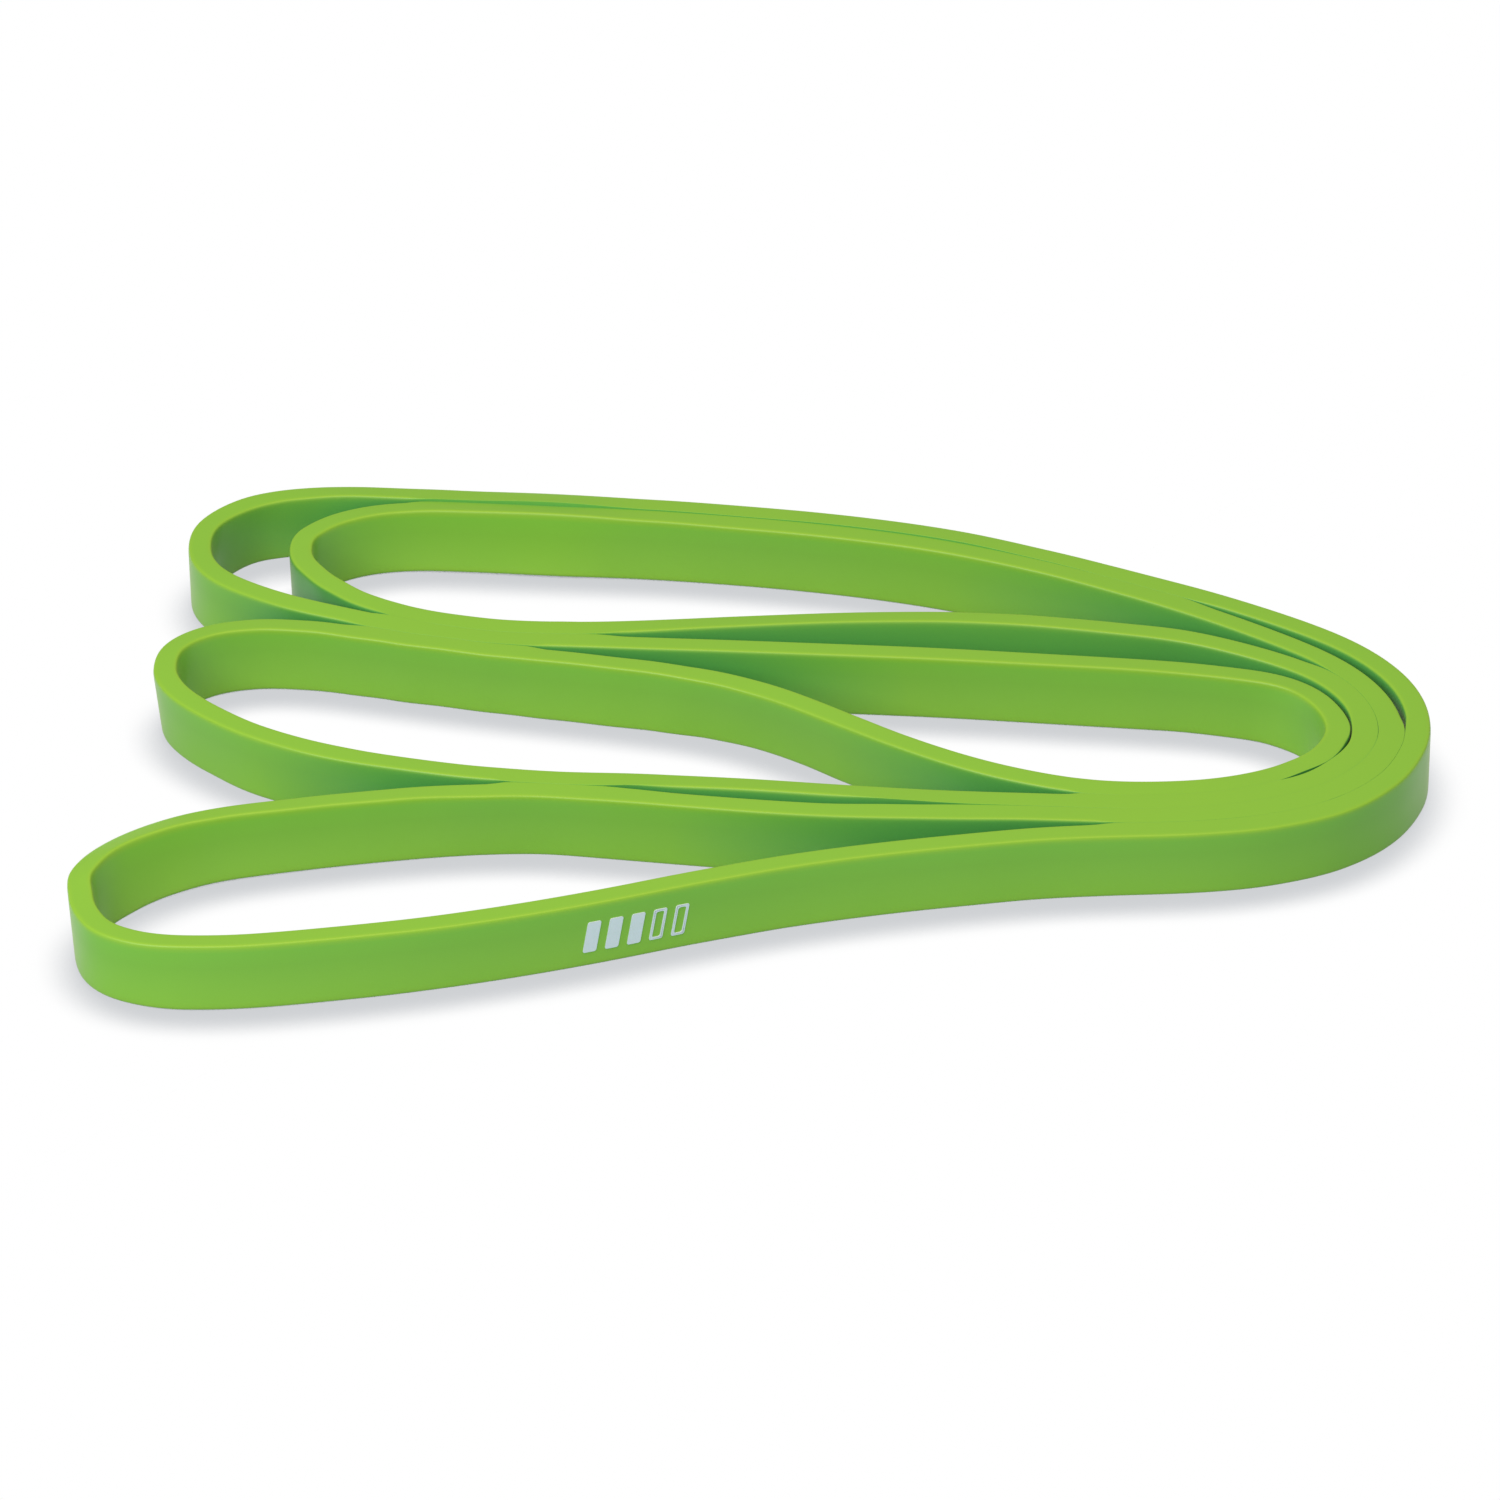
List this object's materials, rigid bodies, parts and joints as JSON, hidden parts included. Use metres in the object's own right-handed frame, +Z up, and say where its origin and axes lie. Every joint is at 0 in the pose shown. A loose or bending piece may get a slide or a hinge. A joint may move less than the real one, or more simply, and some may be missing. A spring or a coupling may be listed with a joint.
{
  "type": "loop resistance band",
  "caption": "Endless flat rubber loop band for resistance exercise, standing on its edge and folded to and fro, with a plain resistance mark on its front face.",
  "frame": {"origin": "middle of the footprint, on the surface that the band stands on", "axes": "+X along the folded runs, +Y from the front run to the back run, +Z up, along the band's width"},
  "size_m": [0.2464, 0.157, 0.013],
  "materials": {
    "band_rubber": "satin moulded elastomer, lime green",
    "mark_ink": "thin matt printing ink, bluish white"
  },
  "bodies": {
    "root": {"loop_band": "band_rubber", "resistance_mark": "mark_ink"}
  },
  "joints": []
}
